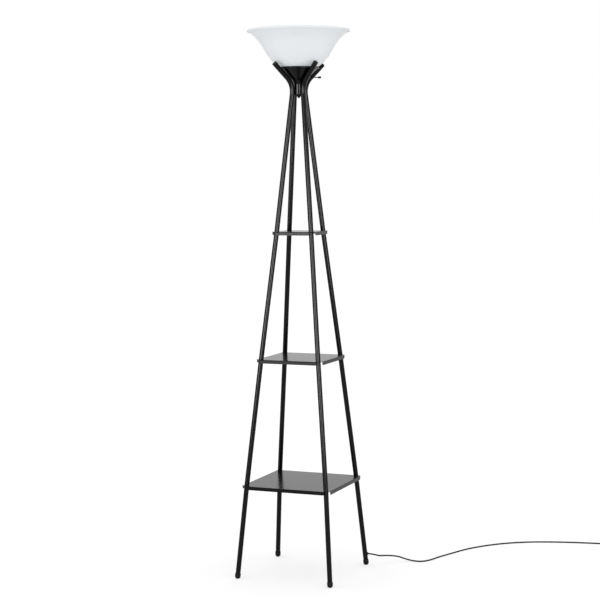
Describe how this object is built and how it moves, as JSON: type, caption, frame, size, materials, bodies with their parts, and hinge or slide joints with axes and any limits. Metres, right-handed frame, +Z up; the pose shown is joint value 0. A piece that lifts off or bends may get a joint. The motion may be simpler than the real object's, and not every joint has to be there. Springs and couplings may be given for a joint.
{
  "type": "floor lamp with shelves",
  "caption": "Floor lamp: thin tube legs lean in to a narrow neck, carry square folded-sheet shelves and hold an upward white bowl shade over a black funnel cup.",
  "frame": {"origin": "on the floor, on the lamp's centre line", "axes": "+Z up, -Y to the front of the shelves, +X to the right of someone who faces the front"},
  "size_m": [1.1501, 0.9557, 1.75],
  "materials": {
    "foot_plastic": "moulded black plastic, slightly dull",
    "black_powder_coat": "black powder coat, satin",
    "black_enamel": "black enamel, glossy",
    "black_plastic": "black moulded plastic",
    "zinc_steel": "zinc-plated steel",
    "dark_steel": "blackened steel",
    "holder_plastic": "white moulded insulating plastic",
    "brass": "plain brass",
    "white_shade": "white, smooth satin",
    "opal_glass": "opal white glass",
    "bulb_base_metal": "bright drawn aluminium",
    "black_cord": "black plastic sheath",
    "black_plug_plastic": "black moulded plastic"
  },
  "bodies": {
    "frame": {"arm_plugs": "black_plastic", "arm_tube_back_left": "black_powder_coat", "arm_tube_back_right": "black_powder_coat", "arm_tube_front_left": "black_powder_coat", "arm_tube_front_right": "black_powder_coat", "bottom_shelf": "black_powder_coat", "bottom_shelf_nipples": "zinc_steel", "bottom_tube_inserts": "zinc_steel", "bulb_base": "bulb_base_metal", "bulb_glass": "opal_glass", "centre_contact": "brass", "cord": "black_cord", "cord_bushing": "black_plug_plastic", "cord_coil": "black_cord", "cup": "black_enamel", "finial": "black_enamel", "foot_cap_back_left": "foot_plastic", "foot_cap_back_right": "foot_plastic", "foot_cap_front_left": "foot_plastic", "foot_cap_front_right": "foot_plastic", "foot_tube_back_left": "black_powder_coat", "foot_tube_back_right": "black_powder_coat", "foot_tube_front_left": "black_powder_coat", "foot_tube_front_right": "black_powder_coat", "holder_body": "holder_plastic", "holder_cap": "zinc_steel", "lamp_pipe": "zinc_steel", "lead": "black_cord", "lower_tube_back_left": "black_powder_coat", "lower_tube_back_right": "black_powder_coat", "lower_tube_front_left": "black_powder_coat", "lower_tube_front_right": "black_powder_coat", "middle_shelf": "black_powder_coat", "middle_shelf_nipples": "zinc_steel", "middle_tube_inserts": "zinc_steel", "pipe_nut": "zinc_steel", "pipe_washer": "zinc_steel", "plug_blades": "brass", "plug_body": "black_plug_plastic", "screw_shell": "brass", "shade": "white_shade", "shade_ring": "holder_plastic", "top_shelf": "black_powder_coat", "top_shelf_nipples": "zinc_steel", "top_tube_inserts": "zinc_steel", "upper_tube_back_left": "black_powder_coat", "upper_tube_back_right": "black_powder_coat", "upper_tube_front_left": "black_powder_coat", "upper_tube_front_right": "black_powder_coat"},
    "switch": {"switch_knob": "black_plastic", "switch_shaft": "dark_steel"}
  },
  "joints": [
    {"name": "switch_turn", "type": "hinge", "parent": "frame", "child": "switch", "pos_m": [0, 0, 1.598], "axis": [0.977, 0.213, 0], "continuous": true}
  ]
}
